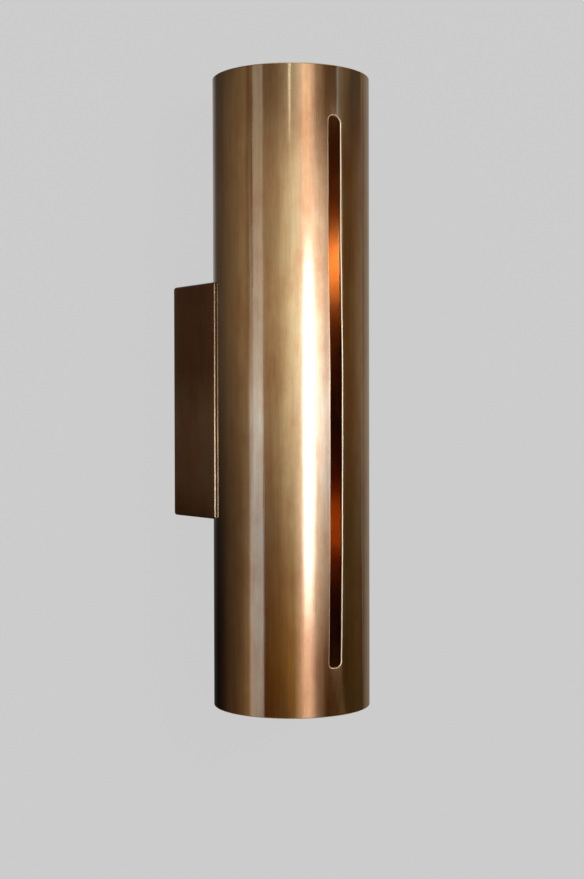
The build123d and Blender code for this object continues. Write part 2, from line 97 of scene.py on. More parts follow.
# %% Helpers for finishes
def linear(code):
    """An sRGB hex colour as linear red, green, blue and 1: under 0.04045 a straight line, else a
    power of 2.4."""
    shades = [int(code[i : i + 2], 16) / 255 for i in (0, 2, 4)]
    return (*(s / 12.92 if s <= 0.04045 else ((s + 0.055) / 1.055) ** 2.4 for s in shades), 1)


def add(tree, kind, sockets=None, stops=None, **settings):
    """Add one node. sockets fills its inputs with values or links, stops fills its ramp."""
    made = tree.nodes.new(kind)
    for name, value in settings.items():
        setattr(made, name, value)
    for name, value in (sockets or {}).items():
        if isinstance(value, bpy.types.NodeSocket):
            tree.links.new(value, made.inputs[name])
        else:
            made.inputs[name].default_value = value
    if stops:
        ladder = made.color_ramp
        for number, (where, colour) in enumerate(stops):
            stop = ladder.elements[number] if number < 2 else ladder.elements.new(where)
            stop.position = where
            stop.color = (*(colour[:3] if isinstance(colour, tuple) else [colour] * 3), 1)
    return made


def mixed(tree, first, second, blend="MULTIPLY", share=1.0):
    """Two colours as one. The share says how much the second counts."""
    sockets = {0: share, 6: first, 7: second}  # where a Mix node keeps its factor and its colours
    return add(tree, "ShaderNodeMix", sockets, data_type="RGBA", blend_type=blend).outputs[2]


def one_of(tree, share, first, second):
    """The first shader where the share is 0, and the second where it is 1."""
    return add(tree, "ShaderNodeMixShader", {0: share, 1: first, 2: second}).outputs[0]


def ranged(tree, value, low, high, new_low=0.0, new_high=1.0):
    """The value moved from the range low to high into a new range, and held inside it."""
    old, new = {"From Min": low, "From Max": high}, {"To Min": new_low, "To Max": new_high}
    return add(tree, "ShaderNodeMapRange", {"Value": value, **old, **new}).outputs[0]


def ramp(tree, value, stops, low=0.0, high=1.0):
    """A colour ramp over a value that runs from 0 to 1. The stops are given between low and high."""
    spread = [((where - low) / (high - low), colour) for where, colour in stops]
    return add(tree, "ShaderNodeValToRGB", {0: value}, spread).outputs[0]


def object_place(tree):
    """The place in the piece's own frame. The pieces sit at the origin, so it is in metres there."""
    return add(tree, "ShaderNodeTexCoord").outputs["Object"]


def ray_kinds(tree):
    """Whether a ray comes off a mirror, and whether it comes from the camera or through glass."""
    ray = add(tree, "ShaderNodeLightPath")
    both = {0: ray.outputs["Is Camera Ray"], 1: ray.outputs["Is Transmission Ray"]}
    straight = add(tree, "ShaderNodeMath", both, operation="MAXIMUM")
    return ray.outputs["Is Glossy Ray"], straight.outputs[0]


def new_finish(name, **sockets):
    """A material with one Principled shader, whose constants sit on its own sockets."""
    made = bpy.data.materials.new(name)
    made.use_nodes = True
    made.node_tree.nodes.clear()
    constants = {key.replace("_", " "): value for key, value in sockets.items()}
    shader = add(made.node_tree, "ShaderNodeBsdfPrincipled", constants)
    add(made.node_tree, "ShaderNodeOutputMaterial", {"Surface": shader.outputs[0]})
    return made, made.node_tree, shader


print("a mid grey of 808080 in linear light:", round(linear("808080")[0], 3))

# %% [markdown]
# ## The studio
#
# Brass has hardly any colour of its own: it shows the room. In a round tube each upright line of the
# metal shows another direction of the room, so the tube's bands are the studio, squeezed. The world is
# therefore a ring of panels round the light: a dim warm room, a tall soft light in front with a brighter
# core, a sheet of light beside it, a cool window on the left and a dark right side. Only mirror-like
# rays see that ring. The camera sees plain pale grey.
#
# Each panel is one ramp round the ring times one ramp up it. A bearing is in degrees: -90 is along the
# wall to the left, 0 straight out into the room, 90 along the wall to the right. A height is the sine of
# the angle above the horizon.

# %% World
GREY = linear("CCCCCC")
BACKDROP, ROOM_LIGHT = 1.0, 0.6  # how bright the grey is to the camera, and as light on matt parts
world = bpy.data.worlds.new("studio")
scene.world = world
world.use_nodes = True
sky = world.node_tree
sky.nodes.clear()
way = add(sky, "ShaderNodeSeparateXYZ", {0: add(sky, "ShaderNodeTexCoord").outputs["Generated"]})
east, north, high = way.outputs
toward = add(sky, "ShaderNodeMath", {0: north, 1: -1.0}, operation="MULTIPLY").outputs[0]
bearing = add(sky, "ShaderNodeMath", {0: east, 1: toward}, operation="ARCTAN2").outputs[0]
around = ranged(sky, bearing, -math.pi, math.pi)
upward = ranged(sky, high, -1.0, 1.0)

# each panel: its colour, then (bearing, level) round the ring, then (height, level) up it
PANELS = {
    "room": (
        (1.0, 1.0, 1.0),
        [(-130, 0.4), (-90, 0.50), (-74, 0.53), (-64, 0.58), (-52, (0.74, 0.80, 0.84)),
         (-41, (1.14, 1.36, 1.55)), (-35, (1.32, 1.65, 1.95)), (-29, (1.50, 1.95, 2.40)),
         (-20, (1.2, 1.45, 1.8)), (-10, 0.9), (0, 0.55), (10, (0.46, 0.40, 0.34)),
         (22, (0.42, 0.35, 0.30)), (50, (0.17, 0.13, 0.08)), (64, (0.19, 0.15, 0.09)),
         (78, (0.26, 0.23, 0.20)), (90, (0.30, 0.29, 0.28)), (130, 0.4)],
        [(-1, (0.20, 0.18, 0.13)), (-0.2, (0.20, 0.145, 0.07)), (-0.163, (0.26, 0.17, 0.075)),
         (-0.084, (0.41, 0.34, 0.30)), (-0.004, (0.82, 0.80, 0.86)), (0.076, (1.0, 0.98, 1.05)),
         (0.156, (0.85, 0.80, 0.88)), (0.209, (0.41, 0.40, 0.43)), (0.3, (0.40, 0.38, 0.40)),
         (0.45, (0.4, 0.4, 0.4)), (0.7, (1.2, 1.2, 1.2)), (1, (1.2, 1.2, 1.2))],
    ),
    "tall light": (
        (1.0, 1.05, 1.55),
        [(-30, 0), (-20.3, 0.6), (-14.5, 1.2), (-8.5, 1.35), (-2.5, 0.95), (3.5, 0.34), (10, 0.18),
         (18, 0)],
        [(-0.5, 0), (-0.3, (0.8, 0.9, 1.0)), (-0.16, (0.92, 1.0, 1.12)), (0, 1), (0.156, 0.9),
         (0.3, (1.1, 1.1, 1.0)), (0.5, 0)],
    ),
    "core": (
        (5.0, 7.6, 16.0),
        [(-26, 0), (-22, 0.02), (-20, 0.055), (-18, 0.1), (-15, 0.42), (-12.8, 1), (-5.5, 1),
         (-2, 0.35), (2, 0.06), (5, 0)],
        [(-0.15, 0), (-0.06, 0.9), (0.0, 1), (0.07, 1), (0.125, 0)],
    ),
    "sheet of light": (
        (1.0, 1.28, 2.15),
        [(-6, 0), (0, 1.75), (10, 1.65), (16, 1.3), (24, 1.15), (28, 4.4), (43, 4.4), (46, 0)],
        [(-0.17, 0), (-0.12, 0.25), (-0.084, 0.5), (-0.04, (0.65, 0.72, 0.85)),
         (-0.004, (1.05, 1.2, 1.45)), (0.04, (1.0, 1.15, 1.3)), (0.076, 1.0), (0.156, 0.28),
         (0.19, 0)],
    ),
    "window": (
        (0.45, 0.79, 1.78),
        [(-100, 0), (-92, 1.0), (-75.4, 1.0), (-74.1, 0)],
        [(-0.3, 0.8), (-0.163, 1.0), (-0.084, 1.05), (-0.044, 1.02), (-0.004, 1.48), (0.036, 0.77),
         (0.076, 0.62), (0.156, (0.5, 0.42, 0.33)), (0.209, (0.62, 0.52, 0.40)), (0.3, 0.4), (0.4, 0)],
    ),
    "far corner": (
        (0.04, 0.06, 0.05),
        [(26, 0), (46, 1), (80, 1), (90, 0.6)],
        [(-0.3, 0.6), (-0.16, 0.8), (-0.084, 0.7), (0, 0)],
    ),
    "door edge": (
        (0.27, 0.50, 1.15),
        [(36.6, 0), (36.9, 1.9), (38.2, 1.5), (39.3, 0.85), (40.5, (0.75, 0.5, 0.36)),
         (48, (0.65, 0.44, 0.24)), (56, (0.5, 0.32, 0.14)), (66, 0.1), (80, 0)],
        [(0.165, 0), (0.19, 0.6), (0.209, 0.8), (0.22, 1), (0.4, 1), (0.5, 0)],
    ),
    "lamp stand": (
        (3.0, 4.4, 7.0),
        [(-35.9, 0), (-35.5, 1), (-34.9, 1), (-34.5, 0)],
        [(0.165, 0), (0.2, 0.4), (0.23, 1), (0.4, 1), (0.5, 0)],
    ),
}


def panel_light(colour, round_stops, up_stops):
    """One panel: its ramp round the ring, times its ramp up it, times its colour."""
    wide = ramp(sky, around, round_stops, -180, 180)
    tall = ramp(sky, upward, up_stops, -1, 1)
    return mixed(sky, mixed(sky, wide, tall), (*colour, 1))


ring = None
for panel in PANELS.values():
    light = panel_light(*panel)
    ring = light if ring is None else mixed(sky, ring, light, "ADD")

off_mirror, straight = ray_kinds(sky)
plain, soft, shown = (
    add(sky, "ShaderNodeBackground", {0: colour, 1: strength}).outputs[0]
    for colour, strength in ((GREY, BACKDROP), (GREY, ROOM_LIGHT), (ring, 1.0))
)
rest = one_of(sky, off_mirror, soft, shown)
add(sky, "ShaderNodeOutputWorld", {0: one_of(sky, straight, rest, plain)})
print("studio:", len(PANELS), "panels,", len(sky.nodes), "nodes")

# %% [markdown]
# ## Wall and floor
#
# The wall is a plain board just behind the light, and the floor lies far below it. The board is seen
# from the front only, so that a view from behind looks through it at the open back of the box. In the
# metal it shows a painted shade and painted window light: to mirror-like rays it glows with ramps that
# are darker close to the light, where the light's own shade lies, and lighter away from it.


# %% Wall and floor
def flat_board(name, corners):
    """One rectangle through four corners, which run anticlockwise as seen from its front."""
    mesh = bpy.data.meshes.new(name)
    mesh.from_pydata(corners, [], [(0, 1, 2, 3)])
    made = bpy.data.objects.new(name, mesh)
    scene.collection.objects.link(made)
    return made


WALL_Y = 0.0002  # just behind the wall plate
WALL_REACH, WALL_TOP = 6.0, 4.0
FLOOR_REACH, FLOOR_DEPTH, FLOOR_Z = 4.0, 4.0, -1.2
sides, ends = (-WALL_REACH, WALL_REACH), (-FLOOR_REACH, FLOOR_REACH)
wall = flat_board(
    "wall_board",
    [(sides[0], WALL_Y, FLOOR_Z), (sides[1], WALL_Y, FLOOR_Z),
     (sides[1], WALL_Y, WALL_TOP), (sides[0], WALL_Y, WALL_TOP)],
)
floor = flat_board(
    "floor_board",
    [(ends[0], -FLOOR_DEPTH, FLOOR_Z), (ends[1], -FLOOR_DEPTH, FLOOR_Z),
     (ends[1], WALL_Y, FLOOR_Z), (ends[0], WALL_Y, FLOOR_Z)],
)
BOARD_GREY, LAMP_TRACE = 0.97, (0.03, 0.03, 0.03, 1)  # even grey, and how much the lamps show on it


def board_finish(name, mirrored):
    """Pale matt paint: plain grey to the camera, paint lit by the lamps to other rays, and to metal a glow
    of the given colour, which paints shade and light into its reflection. From behind it is clear."""
    made = bpy.data.materials.new(name)
    made.use_nodes = True
    tree = made.node_tree
    tree.nodes.clear()
    off_mirror, straight = ray_kinds(tree)
    even = add(tree, "ShaderNodeEmission", {0: GREY, 1: BOARD_GREY}).outputs[0]
    faint = add(tree, "ShaderNodeBsdfDiffuse", {0: LAMP_TRACE}).outputs[0]
    seen = add(tree, "ShaderNodeAddShader", {0: even, 1: faint}).outputs[0]
    paint = add(tree, "ShaderNodeBsdfDiffuse", {0: GREY}).outputs[0]
    reflected = add(tree, "ShaderNodeEmission", {0: mirrored(tree), 1: 1.0}).outputs[0]
    front = one_of(tree, straight, one_of(tree, off_mirror, paint, reflected), seen)
    back = add(tree, "ShaderNodeNewGeometry").outputs["Backfacing"]
    through = add(tree, "ShaderNodeBsdfTransparent").outputs[0]
    add(tree, "ShaderNodeOutputMaterial", {0: one_of(tree, back, front, through)})
    return made


# the wall's painted shade and light as the metal shows it, first along it: (x in metres, level)
WALL_ACROSS = [
    (-1.0, (0.80, 1.10, 2.0)), (-0.7, (0.47, 0.52, 0.76)), (-0.5, (0.37, 0.36, 0.38)),
    (-0.313, (0.41, 0.40, 0.41)), (-0.167, (0.28, 0.26, 0.26)), (-0.106, (0.19, 0.17, 0.17)),
    (-0.076, (0.115, 0.11, 0.11)), (-0.055, (0.09, 0.09, 0.09)), (-0.03, (0.4, 0.42, 0.45)),
    (0.03, (0.4, 0.42, 0.45)), (0.08, (0.2, 0.2, 0.2)), (0.14, (0.34, 0.33, 0.31)),
    (0.3, (0.32, 0.31, 0.29)), (0.58, (0.30, 0.28, 0.26)), (0.62, (0.17, 0.15, 0.14)),
    (1.0, (0.30, 0.30, 0.29)),
]
NEAR_SHARE = [
    (-0.4, 0.2), (-0.313, 0.5), (-0.167, 0.62), (-0.106, 0.66), (-0.058, 1.0), (-0.02, 1.0),
    (0.08, 0.3), (0.2, 0.0),
]
OUTER_SHARE = [(-0.62, 1.0), (-0.53, 0.5), (-0.42, 0.0)]
# then up it, in four places: (height in metres, level)
CLOSE_BY = [
    (-0.5, 0.07), (-0.16, 0.10), (-0.086, 0.2), (-0.012, 0.6), (0.06, 1.0), (0.134, 1.05),
    (0.2, 0.88), (0.26, 0.45), (0.5, 0.3),
]
FAR_LEFT = [
    (-0.5, 0.9), (0.0, 1.0), (0.12, 0.92), (0.26, 0.85), (0.36, (0.45, 0.32, 0.2)),
    (0.5, (0.4, 0.3, 0.2)),
]
FAR_RIGHT = [(-0.5, 0.2), (-0.28, 0.72), (-0.13, 0.85), (0, 1.0), (0.24, 0.95), (0.5, 0.8)]
OUTER_LEFT = [
    (-0.5, 1.1), (-0.21, 1.1), (-0.08, 0.88), (0.0, 1.14), (0.05, (0.82, 0.70, 0.58)),
    (0.1, (0.76, 0.62, 0.46)), (0.5, (0.78, 0.66, 0.52)),
]


def shaded_wall(tree):
    """Painted shade and light, as a glow that only mirror-like rays see: dark behind the light and lighter
    away from it. Close to the light, where its own shade lies, it darkens downwards. Far to the left the
    painted window light is stronger at the bottom than higher up. Far to the right another wall stands off
    it."""
    x, _, z = add(tree, "ShaderNodeSeparateXYZ", {0: object_place(tree)}).outputs
    across, rise = ranged(tree, x, -1.0, 1.0), ranged(tree, z, -0.5, 0.5)
    wide, near, outer = (
        ramp(tree, across, stops, -1.0, 1.0) for stops in (WALL_ACROSS, NEAR_SHARE, OUTER_SHARE)
    )
    close_by, far_left, far_right, outer_left = (
        ramp(tree, rise, stops, -0.5, 0.5) for stops in (CLOSE_BY, FAR_LEFT, FAR_RIGHT, OUTER_LEFT)
    )
    far = mixed(tree, far_left, far_right, "MIX", ranged(tree, x, -0.02, 0.02))
    lit = mixed(tree, wide, mixed(tree, far, close_by, "MIX", near))
    return mixed(tree, lit, outer_left, share=outer)


def plain_floor(tree):
    """In the metal the floor is an even warm grey."""
    shade = add(tree, "ShaderNodeRGB")
    shade.outputs[0].default_value = (0.15, 0.14, 0.12, 1)
    return shade.outputs[0]


wall.data.materials.append(board_finish("wall_paint", shaded_wall))
floor.data.materials.append(board_finish("floor_paint", plain_floor))
print("boards:", wall.name, "and", floor.name)


# %% Soft lamps for everything that isn't metal
def soft_lamp(name, watts, side, spot):
    """A square lamp of the given side that looks at the light. Metal doesn't show it, as it shows
    the ring of panels."""
    glow = bpy.data.lights.new(name, "AREA")
    glow.energy, glow.size = watts, side
    made = bpy.data.objects.new(name, glow)
    made.location = spot
    made.rotation_euler = (Vector(spot) - TUBE_AXIS).to_track_quat("Z", "Y").to_euler()
    made.visible_glossy = False
    made.visible_camera = False
    scene.collection.objects.link(made)


soft_lamp("front_lamp", watts=12, side=1.2, spot=(0.3, -1.8, 0.5))
soft_lamp("side_lamp", watts=6, side=1.0, spot=(-1.7, -1.0, 0.3))
print("soft lamps:", len(bpy.data.lights))

# %% [markdown]
# ## The slotted tube
#
# The real tube is drawn brass with a long slot, cut by machine and dressed with a file. The wall is
# unrolled into a flat sheet and covered with rings: the first follows the slot's edge and the last the
# sheet's border, so there is no vertex where there is no metal. The sheet is then rolled up, gets its
# thickness, and a narrow bevel rounds every cut edge.

# %% Slotted tube
TUBE_RADIUS, TUBE_WALL, TUBE_HEIGHT = 50 * MM, 2 * MM, 400 * MM
SLOT_WIDTH, SLOT_LENGTH, SLOT_RISE = 8.65 * MM, 338.9 * MM, -0.35 * MM
EDGE_BREAK = 0.58 * MM  # what the file took off the outer edges
SHARP, ROUND_STEPS = math.radians(50), 4  # which edges are rounded, and by how many faces
FILE_DEPTH, SLOT_ZONE = 1.1 * EDGE_BREAK, 0.45 * TUBE_HEIGHT  # see darken_cut
BORDER_SHARE = 0.985  # of the sheet's half height that an upright run of the slot spreads over
CLOSE = 0.02 * MM  # a point this near to a wall's radius lies on that wall
# each corner: which side (right, up = 1), how far it reaches and its power
SLOT_CORNERS = (
    (1, 1, 3.8 * MM, 1.35),
    (-1, 1, 2.9 * MM, 1.8),
    (-1, -1, 2.4 * MM, 2.0),
    (1, -1, 3.2 * MM, 1.7),
)


def filed_shift(v):
    """How far the hand-filed slot strays sideways at height v, in millimetres before the last factor:
    half right in the middle and three quarters left near the ends, with a slight ripple from the file.
    Upwards it turns by up * up * (3 - 2 * up), and downwards by down ** 2.5."""
    middle, turn = 0.5, 1.25
    up, down = np.clip(v / (118 * MM), 0, 1), np.clip(-v / (165 * MM), 0, 1)
    ripple = 0.05 * np.sin(v / (9 * MM)) + 0.04 * np.sin(v / (23 * MM) + 1)
    return (middle - turn * up * up * (3 - 2 * up) - turn * down**2.5 + ripple) * MM


def slot_edge(end_count, side_count, corner_count):
    """The slot's outline, anticlockwise from its lower right, and for each point where on the sheet's
    border its ring line ends. A corner is a quarter of a superellipse,
    reach * (cos a, sin a) ** (2 / power), round at a power of 2 and nearer to a chamfer below it."""
    wide, tall, share = math.pi * TUBE_RADIUS, TUBE_HEIGHT / 2, BORDER_SHARE
    a, b = SLOT_WIDTH / 2, SLOT_LENGTH / 2
    quarter = np.linspace(0, math.pi / 2, corner_count, endpoint=False)
    run = np.linspace(0, 1, side_count, endpoint=False)
    across = np.linspace(0, 1, end_count, endpoint=False)
    lead = np.linspace(0, 1, corner_count, endpoint=False)
    edge, border = [], []
    for number, (sx, sz, reach, power) in enumerate(SLOT_CORNERS):
        reach_before = SLOT_CORNERS[number - 1][2]
        upright = sx == sz  # this corner follows an upright run, and the next one a level run
        c, s = np.cos(quarter) ** (2 / power), np.sin(quarter) ** (2 / power)
        if upright:  # lower right to upper right, or upper left to lower left
            start, stop = -sz * (b - reach_before), sz * (b - reach)
            edge.append(np.stack([np.full(side_count, sx * a), start + run * (stop - start)], 1))
            level = sz * tall * share * (2 * run - 1)
            border.append(np.stack([np.full(side_count, sx * wide), level], 1))
            edge.append(np.stack([sx * (a - reach + reach * c), sz * (b - reach + reach * s)], 1))
            level = sz * tall * (share + (1 - share) * lead)
        else:  # upper right to upper left, or lower left to lower right
            start, stop = -sx * (a - reach_before), sx * (a - reach)
            edge.append(np.stack([start + across * (stop - start), np.full(end_count, sz * b)], 1))
            border.append(np.stack([sx * wide * (2 * across - 1), np.full(end_count, sz * tall)], 1))
            edge.append(np.stack([sx * (a - reach + reach * s), sz * (b - reach + reach * c)], 1))
            level = sz * tall * (1 - (1 - share) * lead)
        border.append(np.stack([np.full(corner_count, sx * wide), level], 1))
    edge, border = np.concatenate(edge), np.concatenate(border)
    edge[:, 1] += SLOT_RISE
    edge[:, 0] += filed_shift(edge[:, 1])
    return edge, border


def beside(loop, gap):
    """A closed line moved outwards by the gap: each point steps along the tangent, turned by a right
    angle."""
    tangent = np.roll(loop, -1, 0) - np.roll(loop, 1, 0)
    tangent /= np.linalg.norm(tangent, axis=1)[:, None]
    return loop + gap * np.stack([tangent[:, 1], -tangent[:, 0]], 1)


def ring_faces(rings, count):
    """Quads between rings of count points each: this point, the same one ring on, its neighbour there,
    and the neighbour here."""
    ring, here = np.arange(rings - 1)[:, None] * count, np.arange(count)[None, :]
    after = (here + 1) % count
    corners = [ring + here, ring + count + here, ring + count + after, ring + after]
    return np.stack(corners, -1).reshape(-1, 4)


def rolled_tube(end_count=120, side_count=70, corner_count=10, rings=64):
    """Rings from the slot's edge to the sheet's border, on the unrolled sheet (u round the tube, v up it).
    The second ring lies 1 mm beside the edge, so the bevel has even room. From there on a point is
    (1 - t) * second ring + t * border. Rolled up, u becomes the angle u / radius:
    x = radius * sin(angle), y = -radius * cos(angle), z = v."""
    edge, border = slot_edge(end_count, side_count, corner_count)
    t = np.linspace(0, 1, rings - 1)[:, None, None]
    sheet = np.concatenate([edge[None], (1 - t) * beside(edge, 1 * MM) + t * border])
    u, v = sheet[..., 0].ravel(), sheet[..., 1].ravel()
    angle = u / TUBE_RADIUS
    round_axis = np.stack([TUBE_RADIUS * np.sin(angle), -TUBE_RADIUS * np.cos(angle), v], 1)
    return round_axis + np.array(TUBE_AXIS), ring_faces(rings, len(edge)), np.stack([u, v], 1)


def mesh_piece(name, points, faces):
    """An object at the origin whose mesh holds its place."""
    mesh = bpy.data.meshes.new(name)
    mesh.from_pydata(points.tolist(), [], faces.tolist())
    mesh.shade_smooth()
    made = bpy.data.objects.new(name, mesh)
    scene.collection.objects.link(made)
    return made


def join_seam(piece, gap=1e-6):
    """Merge vertices that lie in one place, so that the sheet closes where its borders meet."""
    work = bmesh.new()
    work.from_mesh(piece.data)
    bmesh.ops.remove_doubles(work, verts=work.verts, dist=gap)
    work.to_mesh(piece.data)
    work.free()


def round_edges(piece, name, width):
    """A bevel of the given width on every sharp edge."""
    made = piece.modifiers.new(name, "BEVEL")
    made.width, made.segments, made.use_clamp_overlap = width, ROUND_STEPS, False
    made.limit_method, made.angle_limit = "ANGLE", SHARP
    return made


def finish_modifiers(piece):
    """Apply what is on the modifier stack, so that the mesh itself is the finished shape."""
    bpy.context.view_layer.update()
    done = piece.evaluated_get(bpy.context.evaluated_depsgraph_get())
    shaped = bpy.data.meshes.new_from_object(done)
    piece.modifiers.clear()
    piece.data = shaped


def read(items, name, width=1, kind=np.float32):
    """One property of all vertices, corners or faces as an array with the given width."""
    values = np.empty(len(items) * width, kind)
    items.foreach_get(name, values)
    return values.reshape(-1, width) if width > 1 else values


points, faces, flat = rolled_tube()
tube = mesh_piece("brass_tube", points, faces)
unrolled = tube.data.uv_layers.new(name="unrolled")  # u runs round the tube and v up it, in metres
corners = read(tube.data.loops, "vertex_index", kind=np.int64)
unrolled.data.foreach_set("uv", flat[corners].astype(np.float32).ravel())
join_seam(tube)
OUTSIDE, FILED, INSIDE, CUT = range(4)  # material slots of the tube, and the first two of the box
for _ in (OUTSIDE, FILED, INSIDE, CUT):
    tube.data.materials.append(None)
wall_thickness = tube.modifiers.new("wall", "SOLIDIFY")
wall_thickness.thickness, wall_thickness.offset = TUBE_WALL, -1
wall_thickness.material_offset_rim, wall_thickness.material_offset = FILED, INSIDE
round_edges(tube, "filed_edges", EDGE_BREAK).material = FILED
finish_modifiers(tube)


def set_wall_normals(piece):
    """Give both walls the exact normals of a cylinder, so that reflections run straight."""
    mesh = piece.data
    spots = read(mesh.vertices, "co", 3) - np.array(TUBE_AXIS)
    normals = read(mesh.vertices, "normal", 3)
    radius = np.hypot(spots[:, 0], spots[:, 1])
    outward = np.stack([spots[:, 0] / radius, spots[:, 1] / radius, np.zeros(len(radius))], 1)
    outer, inner = radius > TUBE_RADIUS - CLOSE, radius < TUBE_RADIUS - TUBE_WALL + CLOSE
    normals[outer], normals[inner] = outward[outer], -outward[inner]
    mesh.normals_split_custom_set_from_vertices(normals.tolist())
    return outer.sum() + inner.sum()


def darken_cut(piece):
    """In the slot, the file reached only the outer edge: faces deeper than that get the dark cut finish.
    The tube's two ends stay filed."""
    faces = piece.data.polygons
    spots = read(faces, "center", 3) - np.array(TUBE_AXIS)
    layers = read(faces, "material_index", kind=np.int32)
    in_slot = np.abs(spots[:, 2]) < SLOT_ZONE
    deep = np.hypot(spots[:, 0], spots[:, 1]) < TUBE_RADIUS - FILE_DEPTH
    dark = (layers == FILED) & in_slot & deep
    layers[dark] = CUT
    faces.foreach_set("material_index", layers)
    return dark.sum()


print("tube:", len(tube.data.polygons), "faces,", set_wall_normals(tube), "points of its walls,", end=" ")
print(darken_cut(tube), "faces of the cut")

# %% [markdown]
# ## The folded box
#
# The box is one strip of sheet, folded four times into a rounded rectangle. Its front is scribed to the
# tube: top and bottom follow the tube's circle, and the sides stop where they meet it.

# %% Folded box
BOX_WIDTH, BOX_HEIGHT, BOX_BEND, BOX_SHEET = 100 * MM, 150 * MM, 2 * MM, 1.5 * MM
BOX_BACK, SCRIBE_RADIUS = -0.3 * MM, 50.1 * MM
BOX_EDGE_BREAK = 0.62 * MM


def folded_box(width_count=60, height_count=24, bend_count=8, depth_count=14):
    """A rounded rectangle in x and z, carried along y from the back edge to the scribed front edge:
    front(x) = axis + the root of (scribe radius squared - x squared), with x held inside the side
    sheets."""
    a, b, r = BOX_WIDTH / 2, BOX_HEIGHT / 2, BOX_BEND
    quarter = np.linspace(0, math.pi / 2, bend_count, endpoint=False)
    inside = a - BOX_SHEET
    along = inside * np.sin(np.linspace(-math.pi / 2, math.pi / 2, width_count, endpoint=False))[::-1]
    side = np.linspace(-1, 1, height_count, endpoint=False)
    right_side = np.stack([np.full(height_count, a), side * (b - r)], 1)
    bend = np.stack([a - r + r * np.cos(quarter), b - r + r * np.sin(quarter)], 1)
    top = np.stack([np.clip(along, -(a - r), a - r), np.full(width_count, b)], 1)
    bend_left = np.stack([-a + r - r * np.sin(quarter), b - r + r * np.cos(quarter)], 1)
    half = np.concatenate([right_side, bend, top, bend_left])
    loop = np.concatenate([half, -half])
    keep = np.ones(len(loop), bool)
    keep[1:] = np.abs(np.diff(loop, axis=0)).sum(1) > 1e-6
    loop = loop[keep]
    x, z = loop[:, 0], loop[:, 1]
    front = TUBE_AXIS.y + np.sqrt(SCRIBE_RADIUS**2 - np.minimum(np.abs(x), inside) ** 2)
    t = np.linspace(0, 1, depth_count)[:, None]
    y = BOX_BACK + t * (front - BOX_BACK)
    points = np.stack([np.broadcast_to(x, y.shape), y, np.broadcast_to(z, y.shape)], -1).reshape(-1, 3)
    faces = ring_faces(depth_count, len(loop))[:, [0, 3, 2, 1]]  # the other way round, to face outwards
    return points, faces


points, faces = folded_box()
box = mesh_piece("brass_box", points, faces)
for _ in (OUTSIDE, FILED):
    box.data.materials.append(None)
sheet_gauge = box.modifiers.new("sheet", "SOLIDIFY")
sheet_gauge.thickness, sheet_gauge.offset = BOX_SHEET, -1
sheet_gauge.material_offset_rim = FILED
round_edges(box, "dressed_edges", BOX_EDGE_BREAK)
finish_modifiers(box)
print("box:", len(box.data.polygons), "faces")

# %% [markdown]
# ## Aged brass
#
# The tube and the box are brass that was darkened with a patina, brushed upright and lacquered. It is a
# metal, so its colour tints what it mirrors. The brushing lies upright and is far finer than a pixel.
# It is drawn a little coarser than real. The patina is uneven: golden where it was rubbed, brown and
# olive elsewhere. The colour is also made redder towards the bottom of the tube. On the box it carries
# painted light and shade: lighter and cooler low in the middle, darker towards the top.


# %% Aged brass
def height_tint(tree, by_height):
    """A colour to multiply by, from stops of (height in metres, factor) between -0.25 and 0.25 m."""
    height = add(tree, "ShaderNodeSeparateXYZ", {0: object_place(tree)}).outputs[2]
    return ramp(tree, ranged(tree, height, -0.25, 0.25), by_height, -0.25, 0.25)


def noise(tree, stretch=(1.0, 1.0, 1.0), **sockets):
    """Noise over the piece's own place, which is first multiplied by the stretch: a small factor
    draws the marks out along that axis."""
    laid = add(tree, "ShaderNodeMapping", {"Vector": object_place(tree), "Scale": stretch})
    return add(tree, "ShaderNodeTexNoise", {"Vector": laid.outputs[0], **sockets}).outputs[0]


def wire(tree, shader, colour, rough, relief):
    """Feed a shader's colour, roughness and bump. relief is the bump's (height, strength, distance)."""
    tree.links.new(colour, shader.inputs["Base Color"])
    tree.links.new(rough, shader.inputs["Roughness"])
    bump = add(tree, "ShaderNodeBump", dict(zip(("Height", "Strength", "Distance"), relief)))
    tree.links.new(bump.outputs[0], shader.inputs["Normal"])


def aged_brass(name, tones, rough, by_height, metal=1.0):
    """Lacquered brass with clouds of patina about 20 mm across and upright brush marks. by_height lists
    (height in metres, factor) by which the colour is multiplied up the piece; on the box that is painted
    light and shade."""
    made, tree, shader = new_finish(name, Metallic=metal, Coat_Weight=0.1, Coat_Roughness=0.03)
    cloud = noise(tree, (1.0, 1.0, 0.55), Scale=48.0, Detail=10.0, Roughness=0.68)
    streak = noise(tree, (1.0, 1.0, 0.07), Scale=330.0, Detail=5.0, Roughness=0.65)
    hair = noise(tree, (1.0, 1.0, 0.012), Scale=2200.0, Detail=3.0)
    toned = mixed(tree, ramp(tree, cloud, tones), ranged(tree, streak, 0.3, 0.7, 0.88, 1.1))
    tinted = mixed(tree, toned, height_tint(tree, by_height))
    wire(tree, shader, tinted, ranged(tree, hair, 0.3, 0.7, *rough), (hair, 0.05, 0.2 * MM))
    return made


